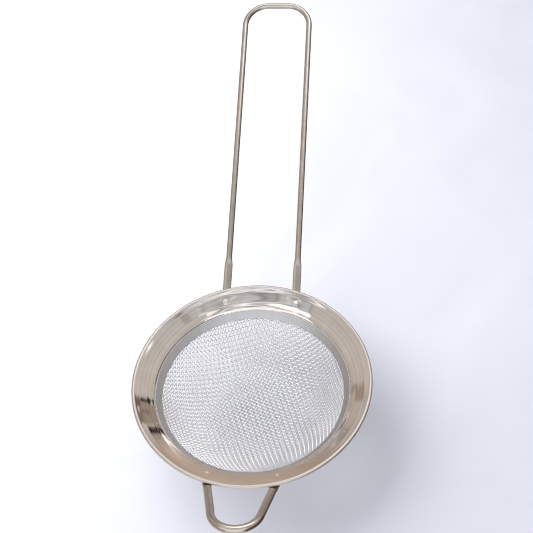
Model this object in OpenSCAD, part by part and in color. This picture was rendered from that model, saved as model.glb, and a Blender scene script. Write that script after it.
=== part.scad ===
/* [Rim] */
// Outer diameter over the rolled bead
rim_d = 75; // [60:1:90]
// Diameter of the rolled bead
bead_d = 1.3; // [1.1:0.1:1.8]
// Thickness of the rim sheet
sheet_t = 0.45; // [0.35:0.05:0.5]
// Slope of the flange below horizontal, going inward
flange_slope = 35; // [30:1:38]
// Radial width of the flange from the bead centre to the start of the lip
flange_w = 5.75; // [5:0.25:8]
// Outside radius of the rounded lip
lip_r = 1.8; // [1.4:0.1:2.2]
// Slope of the sheet where the lip ends
lip_end = 74; // [65:1:80]

/* [Binding ring] */
// Thickness of the folded binding strip
hem_t = 0.3; // [0.2:0.05:0.4]
// Slope of the binding ring below horizontal
hem_slope = 40; // [36:1:44]
// Radial width of the ring left visible below the lip
hem_show = 2.23; // [1.5:0.1:3]
// Radial width of the ring hidden behind the lip
hem_hide = 1.07; // [0.8:0.1:1.5]

/* [Wire cloth bowl] */
// Thickness of the wire cloth
cloth_t = 0.6; // [0.5:0.05:0.8]
// Depth of the bowl below the binding ring
bowl_h = 15.5; // [12:0.5:22]
// Fullness of the bowl: 2 is a parabola, more is fuller with a flatter floor
bowl_full = 3.3; // [2:0.1:4]

/* [Handle] */
// Diameter of the handle wire
handle_wire_d = 2.0; // [1.8:0.1:2.4]
// Spacing of the two legs, centre to centre
handle_w = 23.2; // [20:0.2:28]
// Length along the slope from the rim to the end of the loop
handle_len = 111; // [80:1:140]
// Rise of the handle above the plane of the rim
handle_rise = 20; // [14:1:20]
// Corner radius of the end loop, at the wire's centre
loop_r = 8.2; // [6:0.2:9]

/* [Rest] */
// Diameter of the rest wire
rest_wire_d = 2.5; // [2:0.1:2.7]
// Spacing of the two legs at the rim, centre to centre
rest_w = 19.7; // [18:0.1:21]
// Length along the slope from the rim to the end of the loop
rest_len = 17.6; // [16:0.2:20]
// Radius of the rounded end, at the wire's centre
rest_r = 7.3; // [6.8:0.1:7.8]
// Rise of the rest above the plane of the rim
rest_rise = 20; // [14:1:20]

/* [Welded ends] */
// Width of the flattened wire ends
flat_w = 2.7; // [2.4:0.1:3]
// Thickness of the flattened wire ends
flat_t = 1.15; // [1:0.05:1.3]
// Length of the flattened part of the handle wire outside the rim
handle_flat = 9; // [6:0.5:12]
// Length of the flattened part of the rest wire outside the rim
rest_flat = 1.5; // [1:0.25:3]
// Radius at which the spot welds sit
weld_r = 33.75; // [33.6:0.05:34]
// Diameter of a spot weld
weld_d = 1.7; // [1.4:0.1:1.9]

/* [Hidden] */
$fn = 96;
bead_r = bead_d / 2;
rb = rim_d / 2 - bead_r;                 // radius of the bead's centre circle

// unit vectors in the (radius, height) half plane for a surface that falls inward
function dir_in(a) = [-cos(a), -sin(a)];
function normal_up(a) = [-sin(a), cos(a)];
function arc(c, r, a0, a1, n) = [for (i = [0:n]) let (a = a0 + (a1 - a0) * i / n)
    [c[0] + r * cos(a), c[1] + r * sin(a)]];

// flange: the sheet's top line touches the bead, the lip arc starts at lip_start
top_at = [rb, 0] + bead_r * normal_up(flange_slope);
function flange_top(r) = top_at[1] - tan(flange_slope) * (top_at[0] - r);
function flange_under(r) = flange_top(r) - sheet_t / cos(flange_slope);
lip_start = [rb - flange_w, flange_top(rb - flange_w)];
lip_c = lip_start - lip_r * normal_up(flange_slope);
lip_in = lip_c + (lip_r - sheet_t) * normal_up(lip_end);   // corner that bears on the ring

// binding ring: its inner leaf runs down and inward under the lip's corner
leaf_hi = lip_in - 0.01 * normal_up(hem_slope) - hem_hide * dir_in(hem_slope) / cos(hem_slope);
leaf_lo = lip_in - 0.01 * normal_up(hem_slope) + hem_show * dir_in(hem_slope) / cos(hem_slope);
hem_gap = cloth_t + 0.02;
hem_mid = hem_t + hem_gap / 2;
fold_c = leaf_hi - hem_mid * normal_up(hem_slope);
fold_gap = (flange_under(fold_c[0]) - fold_c[1]) * cos(flange_slope);
fold_r = fold_gap - 0.005;

// cloth: a skirt between the two leaves, then the bowl
skirt_lo = leaf_lo - hem_mid * normal_up(hem_slope) + 0.35 * dir_in(hem_slope);
bowl_r = skirt_lo[0];
function bowl_z(r) = skirt_lo[1] - bowl_h * (1 - pow(r / bowl_r, bowl_full));
bowl_n = 28;
function bowl_pt(i) = let (r = bowl_r * sin(90 * i / bowl_n)) [r, bowl_z(r)];
cloth_path = concat([fold_c + 0.05 * dir_in(hem_slope)],
    [for (i = [bowl_n:-1:0]) bowl_pt(i)]);

// offsets a path sideways by d, with mitred corners
function unit(v) = v / norm(v);
function seg(p, i) = unit(p[i + 1] - p[i]);
function side(v) = [-v[1], v[0]];
function path_normal(p, i) = i == 0 ? side(seg(p, 0))
    : i == len(p) - 1 ? side(seg(p, len(p) - 2))
    : let (a = side(seg(p, i - 1)), b = side(seg(p, i)), m = unit(a + b)) m / (m * a);
function shifted(p, d) = [for (i = [0:len(p) - 1]) let (q = p[i] + d * path_normal(p, i))
    [max(q[0], 0), q[1]]];
function flipped(p) = [for (i = [len(p) - 1:-1:0]) p[i]];

module half_plane_band(p, d0, d1) {
    polygon(concat(shifted(p, d0), flipped(shifted(p, d1))));
}

module at_weld(x, away) {
    y = sqrt(weld_r * weld_r - x * x);
    ang = atan2(x, y);
    rotate([0, 0, away > 0 ? -ang : 180 - ang])
        translate([0, weld_r, flange_under(weld_r)])
            rotate([flange_slope, 0, 0]) children();
}

// weld nugget: a ball of fused metal centred on the joint, dished on top
module nugget() {
    sphere(d = weld_d, $fn = 48);
}

// shallow round mark left on the upper face by the welding tip
module weld_mark() {
    translate([0, 0, sheet_t + 2.9]) sphere(r = 3.05, $fn = 64);
}

module both_sides(x) {
    children();
    mirror([1, 0, 0]) children();
}

handle_x = handle_w / 2;
rest_c = rest_len - rest_r;
rest_x0 = rest_w / 2;
// lean of the legs that makes them run straight into the rounded end
rest_lean = acos(rest_r / norm([rest_x0, rest_c])) - atan2(rest_c, rest_x0);

// height of a wire's centre line at the rim, so that its flattened end bears on the bead
function centre_z(y, rise, x) = let (yb = sqrt(rb * rb - x * x))
    tan(rise) * (y - yb) - (bead_r + 0.01 + flat_t / 2) / cos(rise);

module wire_frame(rise, x, y0) {
    translate([0, y0, centre_z(y0, rise, x)]) rotate([rise, 0, 0]) children();
}

// straight rod along +Y from a to b, flattened up to f, round from f + grow on
module rod(a, f, b, d, grow) {
    wide = flat_w * 0.52;
    high = d / 2 + 0.15;
    intersection() {
        rotate([-90, 0, 0]) rotate_extrude($fn = 48)
            polygon([[0, a], [wide, a], [wide, f], [d / 2, f + grow], [d / 2, b], [0, b]]);
        rotate([90, 0, 90]) linear_extrude(flat_w, center = true)
            polygon([[a - 1, -flat_t / 2], [f, -flat_t / 2], [f + grow, -high], [b + 1, -high],
                [b + 1, high], [f + grow, high], [f, flat_t / 2], [a - 1, flat_t / 2]]);
    }
}

// everything above the flange's under face, used to trim the wire ends
module above_flange() {
    rotate_extrude($fn = 180) polygon([[30, flange_under(30)], [rb, flange_under(rb)],
        [rb, 6], [30, 6]]);
}

// inner limit of the wire ends, clear of the binding ring's fold
module inner_limit() {
    translate([0, 0, -12]) cylinder(r = fold_c[0] + fold_r + 0.08, h = 24, $fn = 180);
}

// middle line of the rim sheet: lip arc, cone, then the curl of the bead
rim_path = concat(
    arc(lip_c, lip_r - sheet_t / 2, 90 + lip_end, 90 + flange_slope, 10),
    arc([rb, 0], bead_r - sheet_t / 2, 90 + flange_slope, -155, 26));

module rim_band() color([0.80, 0.77, 0.73]) difference() {
    rotate_extrude($fn = 180) half_plane_band(rim_path, -sheet_t / 2, sheet_t / 2);
    both_sides() at_weld(handle_x, 1) nugget();
    both_sides() at_weld(handle_x, 1) weld_mark();
    both_sides() at_weld(rest_x, -1) nugget();
    both_sides() at_weld(rest_x, -1) weld_mark();
}

// middle line of the binding strip: inner leaf, bulged fold, outer leaf
fold_m = fold_r - hem_t / 2;
fold_a = asin((hem_mid - hem_t / 2) / fold_m);
hem_path = concat(
    [leaf_lo - hem_t / 2 * normal_up(hem_slope)],
    arc(fold_c, fold_m, 180 + hem_slope - fold_a, hem_slope - 180 + fold_a, 22),
    [leaf_lo - (2 * hem_mid - hem_t / 2) * normal_up(hem_slope)]);

module binding_ring() color([0.70, 0.70, 0.70]) rotate_extrude($fn = 180)
    half_plane_band(hem_path, -hem_t / 2, hem_t / 2);

module mesh_bowl() color([0.78, 0.78, 0.79]) rotate_extrude($fn = 120)
    half_plane_band(cloth_path, -cloth_t / 2, cloth_t / 2);

handle_y0 = 36;
leg_top = handle_len - handle_wire_d / 2 - loop_r;
arch_half = handle_x - loop_r;

module handle_wire() color([0.72, 0.70, 0.67]) difference() {
    wire_frame(handle_rise, handle_x, handle_y0) {
        both_sides() translate([handle_x, 0, 0])
            rod(-6, handle_flat, leg_top, handle_wire_d, 2.5);
        both_sides() translate([arch_half, leg_top, 0])
            rotate_extrude(angle = 90, $fn = 96) translate([loop_r, 0])
                circle(d = handle_wire_d, $fn = 40);
        translate([-arch_half, leg_top + loop_r, 0]) rotate([0, 90, 0])
            cylinder(d = handle_wire_d, h = 2 * arch_half, $fn = 40);
    }
    above_flange();
    inner_limit();
    both_sides() at_weld(handle_x, 1) nugget();
}

rest_y0 = 36;
rest_x = rest_x0 + 2.6 * tan(rest_lean);
rest_tan = [rest_r * cos(rest_lean), rest_c + rest_r * sin(rest_lean)];
rest_leg = (rest_tan[1]) / cos(rest_lean);

module rest_wire() color([0.72, 0.70, 0.67]) difference() {
    rotate([0, 0, 180]) wire_frame(rest_rise, rest_x0, rest_y0) {
        both_sides() translate([rest_tan[0], rest_tan[1], 0]) rotate([0, 0, rest_lean])
            rod(-rest_leg - 6, -rest_leg + rest_flat, 0, rest_wire_d, 2);
        translate([0, rest_c, 0]) rotate([0, 0, rest_lean])
            rotate_extrude(angle = 180 - 2 * rest_lean, $fn = 96) translate([rest_r, 0])
                circle(d = rest_wire_d, $fn = 40);
    }
    above_flange();
    inner_limit();
    both_sides() at_weld(rest_x, -1) nugget();
}

module handle_spot_welds() color([0.60, 0.58, 0.55]) difference() {
    both_sides() at_weld(handle_x, 1) nugget();
    both_sides() at_weld(handle_x, 1) weld_mark();
}

module rest_spot_welds() color([0.60, 0.58, 0.55]) difference() {
    both_sides() at_weld(rest_x, -1) nugget();
    both_sides() at_weld(rest_x, -1) weld_mark();
}

rim_band();
binding_ring();
mesh_bowl();
handle_wire();
rest_wire();
handle_spot_welds();
rest_spot_welds();
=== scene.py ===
"""Tea strainer: the finished pieces, the floor, the light and the camera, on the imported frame."""

import logging
import math
from dataclasses import dataclass, field
from enum import Enum
from typing import Any

import bpy
import numpy as np
from mathutils import Matrix, Vector


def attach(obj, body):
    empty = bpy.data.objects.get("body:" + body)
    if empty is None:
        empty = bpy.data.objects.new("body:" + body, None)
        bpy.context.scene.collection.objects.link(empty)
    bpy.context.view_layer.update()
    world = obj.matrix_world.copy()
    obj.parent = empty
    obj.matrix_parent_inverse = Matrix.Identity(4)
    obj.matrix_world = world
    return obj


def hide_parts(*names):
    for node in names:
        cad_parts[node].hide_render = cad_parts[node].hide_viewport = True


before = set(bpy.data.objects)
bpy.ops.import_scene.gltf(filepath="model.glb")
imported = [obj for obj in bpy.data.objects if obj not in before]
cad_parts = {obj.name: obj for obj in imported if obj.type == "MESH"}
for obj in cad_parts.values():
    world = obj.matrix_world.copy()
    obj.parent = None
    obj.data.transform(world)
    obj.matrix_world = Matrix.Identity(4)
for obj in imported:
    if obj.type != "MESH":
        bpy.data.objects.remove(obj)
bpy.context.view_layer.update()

LOG = logging.getLogger("tea_strainer")
MM = 0.001  # millimetres to metres
DOME_CLIMB = (64.0, 38.0, 16.0)  # degrees up the quarter circle of a wire's end dome, from the pole outward


class Family(Enum):
    """The two sets of wires in a plain weave."""

    WARP = 0
    WEFT = 1


# ---------------------------------------------------------------- colour and nodes


def linear(code: str, alpha: float = 1.0) -> tuple[float, float, float, float]:
    """Turn an sRGB hex colour into linear light.

    Args:
        code: six hex digits, with or without a leading hash.
        alpha: fourth component of the result.

    Returns:
        Red, green, blue and alpha in linear light.
    """
    parts = [int(code.lstrip("#")[k : k + 2], 16) / 255 for k in (0, 2, 4)]
    red, green, blue = (c / 12.92 if c <= 0.04045 else ((c + 0.055) / 1.055) ** 2.4 for c in parts)
    return red, green, blue, alpha


def add(tree: bpy.types.NodeTree, kind: str, inputs: dict[Any, Any] | None = None, **settings: Any) -> bpy.types.Node:
    """Add one node, set its properties, then fill or link its inputs.

    Args:
        tree: the node tree that takes the node.
        kind: the node's Blender type name.
        inputs: socket name or number to a value, or to an output socket to link from.
        settings: properties of the node; "stops" fills a colour ramp with (place, colour) pairs.

    Returns:
        The new node.
    """
    node = tree.nodes.new(kind)
    stops = settings.pop("stops", None)
    for name, value in settings.items():
        setattr(node, name, value)
    if stops:
        ramp = node.color_ramp
        while len(ramp.elements) < len(stops):
            ramp.elements.new(0.5)
        for element, (place, colour) in zip(ramp.elements, stops):
            element.position, element.color = place, colour
    for key, value in (inputs or {}).items():
        if isinstance(value, bpy.types.NodeSocket):
            tree.links.new(value, node.inputs[key])
        else:
            node.inputs[key].default_value = value
    return node


def new_material(name: str) -> tuple[bpy.types.Material, bpy.types.NodeTree]:
    """Make an empty node material.

    Args:
        name: the material's name.

    Returns:
        The material and its cleared node tree.
    """
    material = bpy.data.materials.new(name)
    material.use_nodes = True
    material.node_tree.nodes.clear()
    return material, material.node_tree


# ---------------------------------------------------------------- meshes


def make_piece(name: str, points: np.ndarray, quads: np.ndarray, triangles: np.ndarray | None = None,
               uv: np.ndarray | None = None, closed: bool = True) -> bpy.types.Object:
    """Put arrays of points and faces into a smooth mesh object that faces outward.

    The signed volume is the sum over the faces' triangles of a dot (b cross c) / 6, and the faces are turned
    round when it is negative.

    Args:
        name: the object's name.
        points: (n, 3) places in millimetres.
        quads: (q, 4) point numbers.
        triangles: (t, 3) point numbers, or None.
        uv: (n, 2) coordinates in millimetres for each point, or None.
        closed: False for an open sheet, which keeps the faces as they are given.

    Returns:
        The new object, linked to the scene.
    """
    points = np.asarray(points, float) * MM
    triangles = np.zeros((0, 3), int) if triangles is None else np.asarray(triangles, int)
    quads = np.asarray(quads, int).reshape(-1, 4)
    every = np.concatenate([quads[:, [0, 1, 2]], quads[:, [0, 2, 3]], triangles])
    a, b, c = (points[every[:, k]] for k in range(3))
    if closed and np.einsum("ij,ij->", a, np.cross(b, c)) < 0:
        quads, triangles = quads[:, ::-1], triangles[:, ::-1]
    corners = np.concatenate([quads.ravel(), triangles.ravel()]).astype(np.int32)
    totals = np.concatenate([np.full(len(quads), 4), np.full(len(triangles), 3)]).astype(np.int32)
    starts = np.concatenate([[0], np.cumsum(totals)[:-1]]).astype(np.int32)
    mesh = bpy.data.meshes.new(name)
    mesh.vertices.add(len(points))
    mesh.vertices.foreach_set("co", points.astype(np.float32).ravel())
    mesh.loops.add(len(corners))
    mesh.loops.foreach_set("vertex_index", corners)
    mesh.polygons.add(len(totals))
    mesh.polygons.foreach_set("loop_start", starts)
    mesh.polygons.foreach_set("loop_total", totals)
    mesh.update(calc_edges=True)
    mesh.polygons.foreach_set("use_smooth", np.ones(len(totals), bool))
    if uv is not None:
        layer = mesh.uv_layers.new(name="UVMap")
        layer.data.foreach_set("uv", np.asarray(uv, np.float32)[corners].ravel())
    mesh.validate()
    piece = bpy.data.objects.new(name, mesh)
    bpy.context.scene.collection.objects.link(piece)
    return piece


def finish_piece(piece: bpy.types.Object, material: bpy.types.Material, slot: str, *nodes: str) -> bpy.types.Object:
    """Dress a piece and tie it to the frame.

    Args:
        piece: the piece.
        material: its finish.
        slot: the record's material slot; not used.
        nodes: the CAD nodes it stands for.

    Returns:
        The same piece.
    """
    piece.data.materials.append(material)
    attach(piece, "root")
    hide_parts(*nodes)
    return piece


def arc(centre: np.ndarray, radius: float, start: float, end: float, count: int) -> np.ndarray:
    """Points on a circle arc in the (radius, height) half plane, angles in degrees, ends included."""
    angle = np.radians(np.linspace(start, end, count + 1))
    return np.asarray(centre) + radius * np.stack([np.cos(angle), np.sin(angle)], axis=1)


def unit(vectors: np.ndarray) -> np.ndarray:
    """Vectors divided by their own lengths."""
    return vectors / np.linalg.norm(vectors, axis=-1, keepdims=True)


def running_length(path: np.ndarray) -> np.ndarray:
    """Length along a polyline at each of its points, from 0."""
    return np.concatenate([[0.0], np.cumsum(np.linalg.norm(np.diff(path, axis=0), axis=1))])


def refine(path: np.ndarray, step: float) -> np.ndarray:
    """Resample a polyline so that no span is longer than a step, keeping its corners.

    Args:
        path: (n, 2) points.
        step: longest span in millimetres.

    Returns:
        The refined points.
    """
    place = running_length(path)
    spans = np.diff(place)
    counts = np.maximum(1, np.ceil(spans / step)).astype(int)
    at = np.concatenate([place[k] + spans[k] * np.arange(n) / n for k, n in enumerate(counts)] + [place[-1:]])
    return np.stack([np.interp(at, place, path[:, 0]), np.interp(at, place, path[:, 1])], axis=1)


def walled(path: np.ndarray, half: float, round_steps: int = 6) -> tuple[np.ndarray, np.ndarray]:
    """Outline of a sheet of even thickness along a middle line, with rounded edges.

    Each side is the middle line moved along its mitred normals by half the thickness. Half circles close the ends,
    inside the middle line's length.

    Args:
        path: (n, 2) middle line.
        half: half the thickness.
        round_steps: spans in each end's half circle.

    Returns:
        The closed outline (m, 2), and for each point the length along the middle line.
    """
    ahead = unit(np.diff(path, axis=0))
    side = np.stack([-ahead[:, 1], ahead[:, 0]], axis=1)
    across = unit(np.concatenate([side[:1], side[:-1] + side[1:], side[-1:]]))
    mitre = half * across / np.einsum("ij,ij->i", across, np.concatenate([side[:1], side]))[:, None]
    length = running_length(path)
    turn = np.linspace(0, math.pi, round_steps + 1)[1:-1, None]
    near_end, far_end = path[0] + half * ahead[0], path[-1] - half * ahead[-1]
    near_cap = near_end - half * (np.cos(turn) * side[0] + np.sin(turn) * ahead[0])
    far_cap = far_end + half * (np.cos(turn) * side[-1] + np.sin(turn) * ahead[-1])
    middle = np.concatenate([near_end[None], path[1:-1], far_end[None]])
    outline = np.concatenate([middle + mitre, far_cap, (middle - mitre)[::-1], near_cap])
    along = np.concatenate([length, np.full(len(far_cap), length[-1]), length[::-1], np.zeros(len(near_cap))])
    return outline, along


def ring_faces(rows: int, columns: int, wrap_rows: bool, wrap_columns: bool) -> np.ndarray:
    """Point numbers of the quads on a grid of rows by columns, closed either way when asked."""
    r = np.arange(rows if wrap_rows else rows - 1)[:, None]
    c = np.arange(columns if wrap_columns else columns - 1)[None, :]
    r2, c2 = (r + 1) % rows, (c + 1) % columns
    return np.stack([r * columns + c, r2 * columns + c, r2 * columns + c2, r * columns + c2], axis=-1).reshape(-1, 4)


def pole_fans(rows: int, sides: int) -> np.ndarray:
    """Triangles that close both ends of a grid whose columns wrap, turned the same way as its quads.

    Args:
        rows: rows of the grid.
        sides: points in each row; the two poles are the points that come next after the grid.

    Returns:
        (2 * sides, 3) point numbers.
    """
    k = np.arange(sides)
    after = (k + 1) % sides
    pole = np.full(sides, rows * sides)
    last = (rows - 1) * sides
    return np.concatenate([np.stack([pole, k, after], axis=1), np.stack([pole + 1, last + after, last + k], axis=1)])


def revolve(outline: np.ndarray, angles: np.ndarray) -> np.ndarray:
    """Carry a half-plane outline round the Z axis: x = r cos t, y = r sin t, z kept.

    Args:
        outline: (m, 2) radius and height.
        angles: (n,) turns in radians.

    Returns:
        (n, m, 3) points.
    """
    radius, height = outline[None, :, 0], outline[None, :, 1]
    turn = angles[:, None]
    return np.stack(np.broadcast_arrays(radius * np.cos(turn), radius * np.sin(turn), height), axis=-1)


def cone_normal(turn: np.ndarray, slope: float) -> np.ndarray:
    """Upward unit normals (n, 1, 3) of a cone that falls inward, at turns in radians and a slope in degrees."""
    outward = np.stack([np.cos(turn), np.sin(turn), np.zeros_like(turn)], axis=-1)[:, None]
    return -outward * math.sin(math.radians(slope)) + np.array([0, 0, math.cos(math.radians(slope))])


def tube(path: np.ndarray, side: np.ndarray, up: np.ndarray, wide: np.ndarray, high: np.ndarray,
         power: np.ndarray, sides: int, cap: float = 0.35) -> tuple[np.ndarray, np.ndarray, np.ndarray, np.ndarray]:
    """Carry a section along a path and close both ends with a short dome.

    The section is a superellipse: side * wide * sgn(cos)|cos|^(2/p) + up * high * sgn(sin)|sin|^(2/p). Each dome adds
    rings that shrink as a quarter circle over a length of cap times the half height, then one pole point.

    Args:
        path: (n, 3) centre line.
        side: (n, 3) unit vectors across.
        up: (n, 3) unit vectors for the height.
        wide: (n,) half widths.
        high: (n,) half heights.
        power: (n,) superellipse powers, 2 for round.
        sides: points in each section.
        cap: dome length as a share of the half height.

    Returns:
        Points, quads, triangles and UV (distance round, distance along) in millimetres.
    """
    climb = np.radians(DOME_CLIMB)
    domes = []
    for at, away in ((0, path[0] - path[1]), (-1, path[-1] - path[-2])):
        reach = cap * high[at] * unit(away)
        domes.append((path[at] + np.sin(climb)[:, None] * reach, path[at] + reach))
    (first, first_pole), (last, last_pole) = domes
    centre = np.concatenate([first, path, last[::-1]])
    scale = np.concatenate([np.cos(climb), np.ones(len(path)), np.cos(climb)[::-1]])[:, None]
    across, above, half_w, half_h, p = (
        np.concatenate([np.repeat(a[:1], len(climb), axis=0), a, np.repeat(a[-1:], len(climb), axis=0)])
        for a in (side, up, wide[:, None], high[:, None], power[:, None]))
    t = np.linspace(0, 2 * math.pi, sides, endpoint=False)[None, :]
    cos, sin = np.cos(t), np.sin(t)
    x = half_w * scale * np.sign(cos) * np.abs(cos) ** (2 / p)
    y = half_h * scale * np.sign(sin) * np.abs(sin) ** (2 / p)
    points = centre[:, None] + x[..., None] * across[:, None] + y[..., None] * above[:, None]
    points = np.concatenate([points.reshape(-1, 3), first_pole[None], last_pole[None]])
    along = running_length(centre)
    uv = np.stack(np.broadcast_arrays(t * np.mean(wide), along[:, None]), axis=-1)
    uv = np.concatenate([uv.reshape(-1, 2), [[0, 0], [0, along[-1]]]])
    return points, ring_faces(len(centre), sides, False, True), pole_fans(len(centre), sides), uv


def joined(parts: list[tuple[np.ndarray, ...]]) -> tuple[np.ndarray, ...]:
    """Stack several shapes into one set of points, quads, triangles and UV."""
    shift = np.concatenate([[0], np.cumsum([len(p[0]) for p in parts])[:-1]])
    return (np.concatenate([p[0] for p in parts]), np.concatenate([p[1] + s for p, s in zip(parts, shift)]),
            np.concatenate([p[2] + s for p, s in zip(parts, shift)]), np.concatenate([p[3] for p in parts]))


def smooth(value: np.ndarray | float, low: float, high: float) -> np.ndarray:
    """Smooth step from 0 at low to 1 at high."""
    t = np.clip((np.asarray(value, float) - low) / (high - low), 0, 1)
    return t * t * (3 - 2 * t)


@dataclass(frozen=True)
class Wave:
    """A wave round the Z axis: height cos(count turn + phase + twist along), in millimetres and radians."""

    height: float
    count: int
    phase: float
    twist: float = 0.0


def waviness(waves: tuple[Wave, ...], turn: np.ndarray, along: np.ndarray | float = 0.0) -> np.ndarray:
    """Sum of the waves at turns round the axis and lengths along the section; whole counts close on themselves."""
    return sum(w.height * np.cos(w.count * turn + w.phase + w.twist * along) for w in waves)


# ---------------------------------------------------------------- finishes


@dataclass(frozen=True)
class PolishedStainless:
    """Stainless sheet, spun and buffed: a near mirror with faint circles from the spinning and soft smears."""

    colour: str = "#DEDAD6"
    shade: str = "#C9C1BA"
    roughness: float = 0.055
    line_pitch_mm: float = 0.9
    line_bump_mm: float = 0.01
    smear_mm: float = 9.0
    bead_from_mm: float = 36.45
    bead_blend_mm: float = 0.24
    bead_roughness: float = 0.46
    bead_colour: str = "#C6BEB7"
    # warm brown on the side towards the rest: a painted reflection of a warm room
    painted_reflection_tint: str = "#C6B4A3"
    near_side_roughness: float = 0.30
    near_side_mm: tuple[float, float] = (-19.0, -30.0)

    def build(self) -> bpy.types.Material:
        """Make the material; circles follow the distance from the Z axis in Object coordinates."""
        material, tree = new_material("polished_stainless")
        place = add(tree, "ShaderNodeTexCoord").outputs["Object"]
        flat = add(tree, "ShaderNodeVectorMath", {0: place, 1: (1, 1, 0)}, operation="MULTIPLY")
        radius = add(tree, "ShaderNodeVectorMath", {0: flat.outputs[0]}, operation="LENGTH").outputs["Value"]
        # buffing circles, one noise cell every line_pitch_mm of radius, coarser than real ones so that they show
        circles = add(tree, "ShaderNodeTexNoise", {"W": radius, "Scale": 1 / (self.line_pitch_mm * MM), "Detail": 3.0,
                                                   "Roughness": 0.6}, noise_dimensions="1D")
        # smears and a thin water film, smear_mm across
        smear = add(tree, "ShaderNodeTexNoise", {"Vector": place, "Scale": 1 / (self.smear_mm * MM), "Detail": 4.0,
                                                 "Distortion": 0.6})
        rough = add(tree, "ShaderNodeMapRange", {"Value": smear.outputs["Fac"], "From Min": 0.35, "From Max": 0.7,
                                                 "To Min": self.roughness * 0.75, "To Max": self.roughness * 1.5})
        # the circles count for a little more of the tint than the smears
        shaded = add(tree, "ShaderNodeMath", {0: circles.outputs["Fac"], 1: 1.6, 2: smear.outputs["Fac"]},
                     operation="MULTIPLY_ADD")
        shaded = add(tree, "ShaderNodeMapRange", {"Value": shaded.outputs[0], "From Min": 0.8, "From Max": 1.8})
        tint = add(tree, "ShaderNodeMix", {"Factor": shaded.outputs["Result"], "A": linear(self.colour),
                                           "B": linear(self.shade)}, data_type="RGBA")
        # towards the rest the sheet is rubbed duller and tinted warm brown; the tint is a painted reflection of a warm
        # room
        across = add(tree, "ShaderNodeSeparateXYZ", {0: place}).outputs["Y"]
        near_side_share = add(tree, "ShaderNodeMapRange", {"Value": across, "From Min": self.near_side_mm[0] * MM,
                                                "From Max": self.near_side_mm[1] * MM}, interpolation_type="SMOOTHSTEP")
        rough = add(tree, "ShaderNodeMix", {"Factor": near_side_share.outputs["Result"], "A": rough.outputs["Result"],
                                            "B": self.near_side_roughness}, data_type="FLOAT")
        tint = add(tree, "ShaderNodeMix", {"Factor": near_side_share.outputs["Result"], "A": tint.outputs["Result"],
                                           "B": linear(self.painted_reflection_tint)}, data_type="RGBA")
        # the curled bead misses the buffing wheel: duller and warmer outside bead_from_mm
        blend = self.bead_blend_mm / 2
        bead = add(tree, "ShaderNodeMapRange", {"Value": radius, "From Min": (self.bead_from_mm - blend) * MM,
                                                "From Max": (self.bead_from_mm + blend) * MM})
        rough = add(tree, "ShaderNodeMix", {"Factor": bead.outputs["Result"], "A": rough.outputs["Result"],
                                            "B": self.bead_roughness}, data_type="FLOAT")
        tint = add(tree, "ShaderNodeMix", {"Factor": bead.outputs["Result"], "A": tint.outputs["Result"],
                                           "B": linear(self.bead_colour)}, data_type="RGBA")
        bump = add(tree, "ShaderNodeBump", {"Height": circles.outputs["Fac"], "Strength": 0.05,
                                            "Distance": self.line_bump_mm * MM})
        shader = add(tree, "ShaderNodeBsdfPrincipled", {"Base Color": tint.outputs["Result"], "Metallic": 1.0,
                                                        "Roughness": rough.outputs["Result"],
                                                        "Normal": bump.outputs["Normal"]})
        add(tree, "ShaderNodeOutputMaterial", {"Surface": shader.outputs["BSDF"]})
        return material


@dataclass(frozen=True)
class SatinStainless:
    """Stainless strip, rolled and pressed: an even satin grey that holds no picture of the room."""

    colour: str = "#B9B9BA"
    shade: str = "#AFAFB1"
    roughness: float = 0.42
    line_pitch_mm: float = 0.35
    line_bump_mm: float = 0.03
    cloud_mm: float = 3.0

    def build(self) -> bpy.types.Material:
        """Make the material; the rolling lines run round the ring."""
        material, tree = new_material("satin_stainless")
        place = add(tree, "ShaderNodeTexCoord").outputs["Object"]
        flat = add(tree, "ShaderNodeVectorMath", {0: place, 1: (1, 1, 0)}, operation="MULTIPLY")
        radius = add(tree, "ShaderNodeVectorMath", {0: flat.outputs[0]}, operation="LENGTH").outputs["Value"]
        lines = add(tree, "ShaderNodeTexNoise", {"W": radius, "Scale": 1 / (self.line_pitch_mm * MM), "Detail": 4.0},
                    noise_dimensions="1D")
        cloud = add(tree, "ShaderNodeTexNoise", {"Vector": place, "Scale": 1 / (self.cloud_mm * MM), "Detail": 5.0})
        mixed = add(tree, "ShaderNodeMix", {"Factor": cloud.outputs["Fac"], "A": linear(self.colour),
                                            "B": linear(self.shade)}, data_type="RGBA")
        rough = add(tree, "ShaderNodeMapRange", {"Value": cloud.outputs["Fac"], "To Min": self.roughness * 0.85,
                                                 "To Max": self.roughness * 1.15})
        bump = add(tree, "ShaderNodeBump", {"Height": lines.outputs["Fac"], "Strength": 0.25,
                                            "Distance": self.line_bump_mm * MM})
        shader = add(tree, "ShaderNodeBsdfPrincipled", {"Base Color": mixed.outputs["Result"], "Metallic": 1.0,
                                                        "Roughness": rough.outputs["Result"],
                                                        "Normal": bump.outputs["Normal"]})
        add(tree, "ShaderNodeOutputMaterial", {"Surface": shader.outputs["BSDF"]})
        return material


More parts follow.
